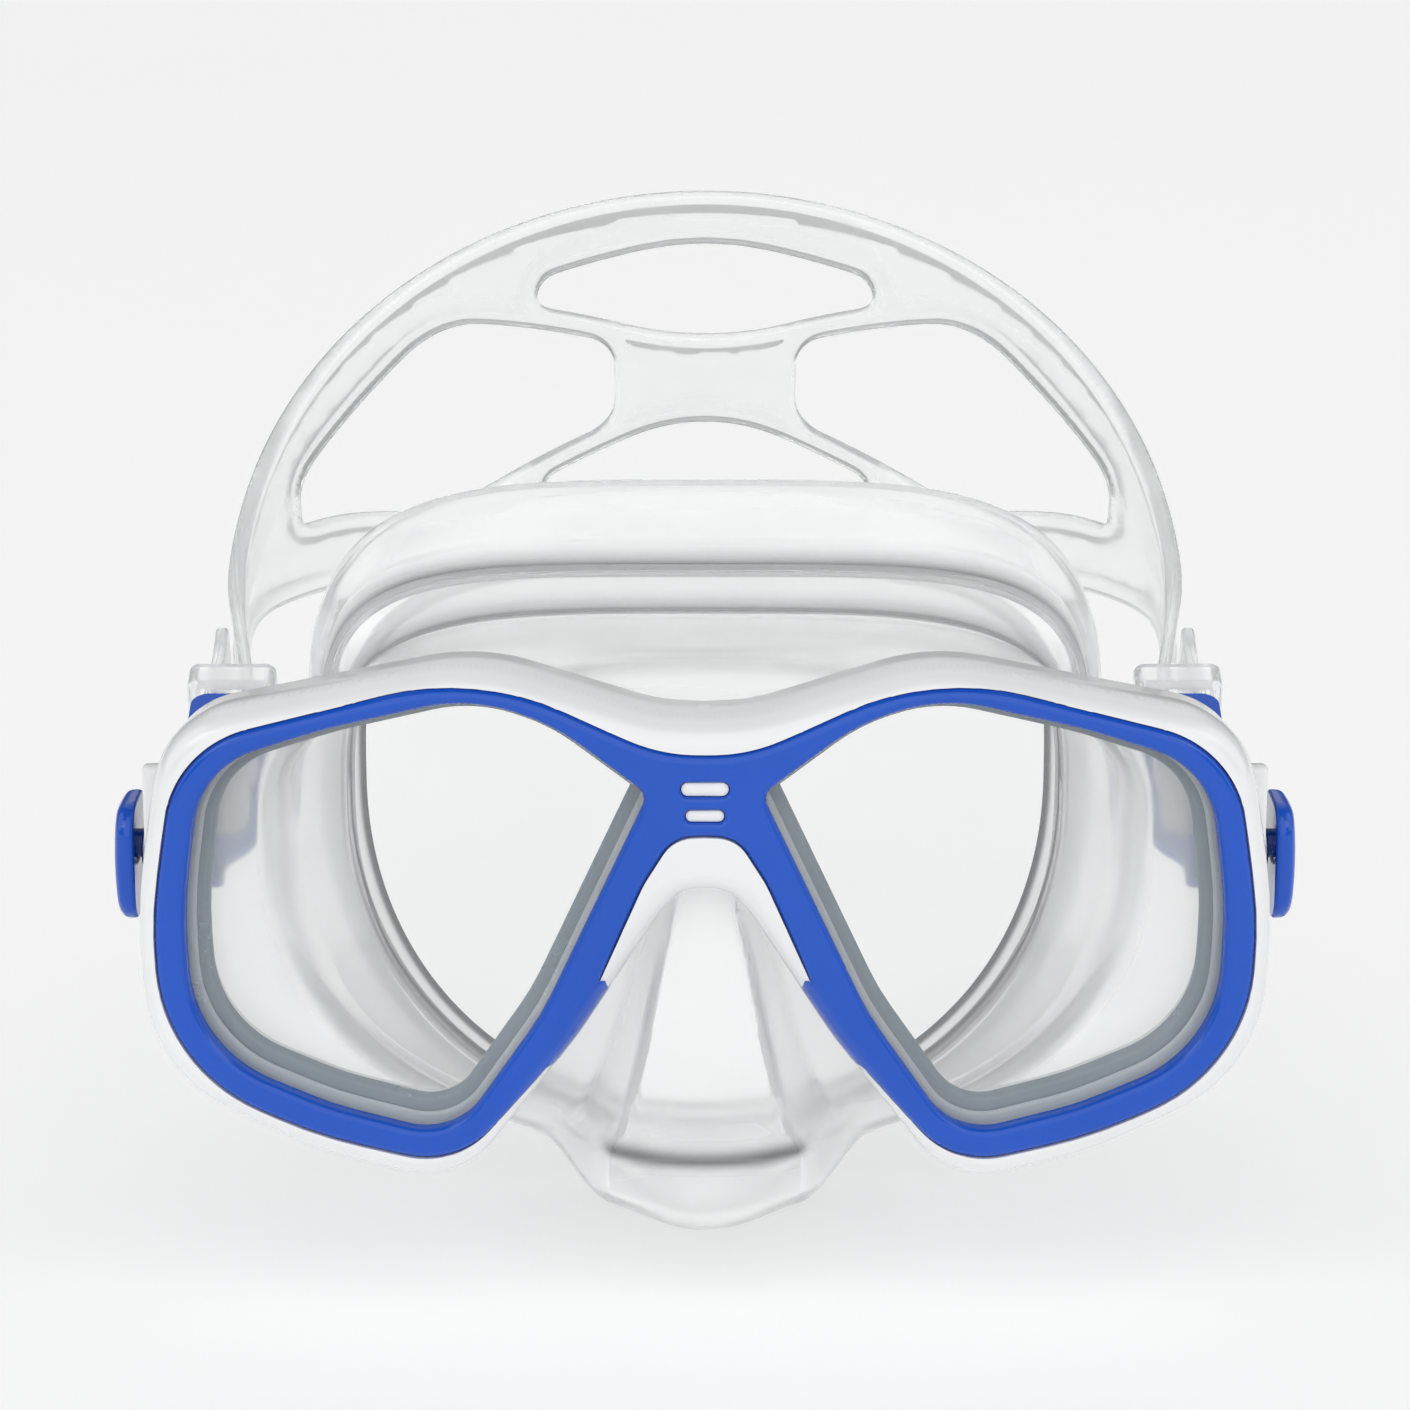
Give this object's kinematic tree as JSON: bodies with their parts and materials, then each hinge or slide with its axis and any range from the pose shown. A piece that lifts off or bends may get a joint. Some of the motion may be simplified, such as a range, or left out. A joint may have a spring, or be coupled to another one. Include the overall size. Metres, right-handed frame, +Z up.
{
  "type": "diving mask",
  "caption": "Junior twin-lens diving mask with a white frame, blue bezel, clear silicone skirt with a nose pocket, and a split strap on swivel buckles.",
  "frame": {"origin": "centre of the face seal plane, on the plane of symmetry, level with the buckle pivots and the eyes", "axes": "+X to the right as seen from the front, +Y from the lenses towards the wearer's face and the back of the head, +Z up"},
  "size_m": [0.1612, 0.1595, 0.137],
  "materials": {
    "white_plastic": "gloss",
    "blue_plastic": "gloss",
    "lens_glass": "clear tempered glass",
    "grey_silicone": "translucent satin",
    "clear_silicone": "clear gloss silicone",
    "grey_plastic": "satin",
    "stainless_steel": "brushed"
  },
  "bodies": {
    "mask": {"front_frame": "white_plastic", "bezel": "blue_plastic", "lens_left": "lens_glass", "lens_right": "lens_glass", "lens_gasket_left": "grey_silicone", "lens_gasket_right": "grey_silicone", "skirt": "clear_silicone"},
    "harness": {"strap": "clear_silicone", "buckle_body_left": "blue_plastic", "retaining_ring_left": "stainless_steel", "button_spring_left": "stainless_steel", "pawl_pin_left": "stainless_steel", "roller_axle_left": "stainless_steel", "buckle_body_right": "blue_plastic", "retaining_ring_right": "stainless_steel", "button_spring_right": "stainless_steel", "pawl_pin_right": "stainless_steel", "roller_axle_right": "stainless_steel"},
    "push_left": {"button_left": "blue_plastic"},
    "grip_left": {"pawl_left": "blue_plastic"},
    "roll_left": {"roller_left": "grey_plastic"},
    "loop_left": {"keeper_left": "clear_silicone"},
    "push_right": {"button_right": "blue_plastic"},
    "grip_right": {"pawl_right": "blue_plastic"},
    "roll_right": {"roller_right": "grey_plastic"},
    "loop_right": {"keeper_right": "clear_silicone"}
  },
  "joints": [
    {"name": "strap_swing", "type": "hinge", "parent": "mask", "child": "harness", "pos_m": [0, -0.0365, 0], "axis": [1, 0, 0], "range_deg": [-90, 45]},
    {"name": "button_press_left", "type": "slide", "parent": "harness", "child": "push_left", "axis": [1, 0, 0], "range_m": [0, 0.0012], "stiffness_N_per_m": 800, "deforming": ["button_spring_left"]},
    {"name": "pawl_tip_left", "type": "hinge", "parent": "harness", "child": "grip_left", "pos_m": [-0.069, -0.03161, 0.00178], "axis": [0, -0.342, 0.9397], "range_deg": [0, 13.5]},
    {"name": "roller_turn_left", "type": "hinge", "parent": "harness", "child": "roll_left", "pos_m": [-0.0674, -0.02241, 0.00513], "axis": [0, -0.342, 0.9397], "continuous": true},
    {"name": "keeper_slide_left", "type": "slide", "parent": "harness", "child": "loop_left", "axis": [0, 0.9397, 0.342], "range_m": [-0.002, 0.006]},
    {"name": "button_press_right", "type": "slide", "parent": "harness", "child": "push_right", "axis": [-1, 0, 0], "range_m": [0, 0.0012], "stiffness_N_per_m": 800, "deforming": ["button_spring_right"]},
    {"name": "pawl_tip_right", "type": "hinge", "parent": "harness", "child": "grip_right", "pos_m": [0.069, -0.03161, 0.00178], "axis": [0, -0.342, 0.9397], "range_deg": [-13.5, 0]},
    {"name": "roller_turn_right", "type": "hinge", "parent": "harness", "child": "roll_right", "pos_m": [0.0674, -0.02241, 0.00513], "axis": [0, -0.342, 0.9397], "continuous": true},
    {"name": "keeper_slide_right", "type": "slide", "parent": "harness", "child": "loop_right", "axis": [0, 0.9397, 0.342], "range_m": [-0.002, 0.006]}
  ],
  "couplings": [
    {"joint": "pawl_tip_left", "follows": "button_press_left", "rad_per_m": 192.31},
    {"joint": "pawl_tip_right", "follows": "button_press_right", "rad_per_m": -192.31}
  ]
}
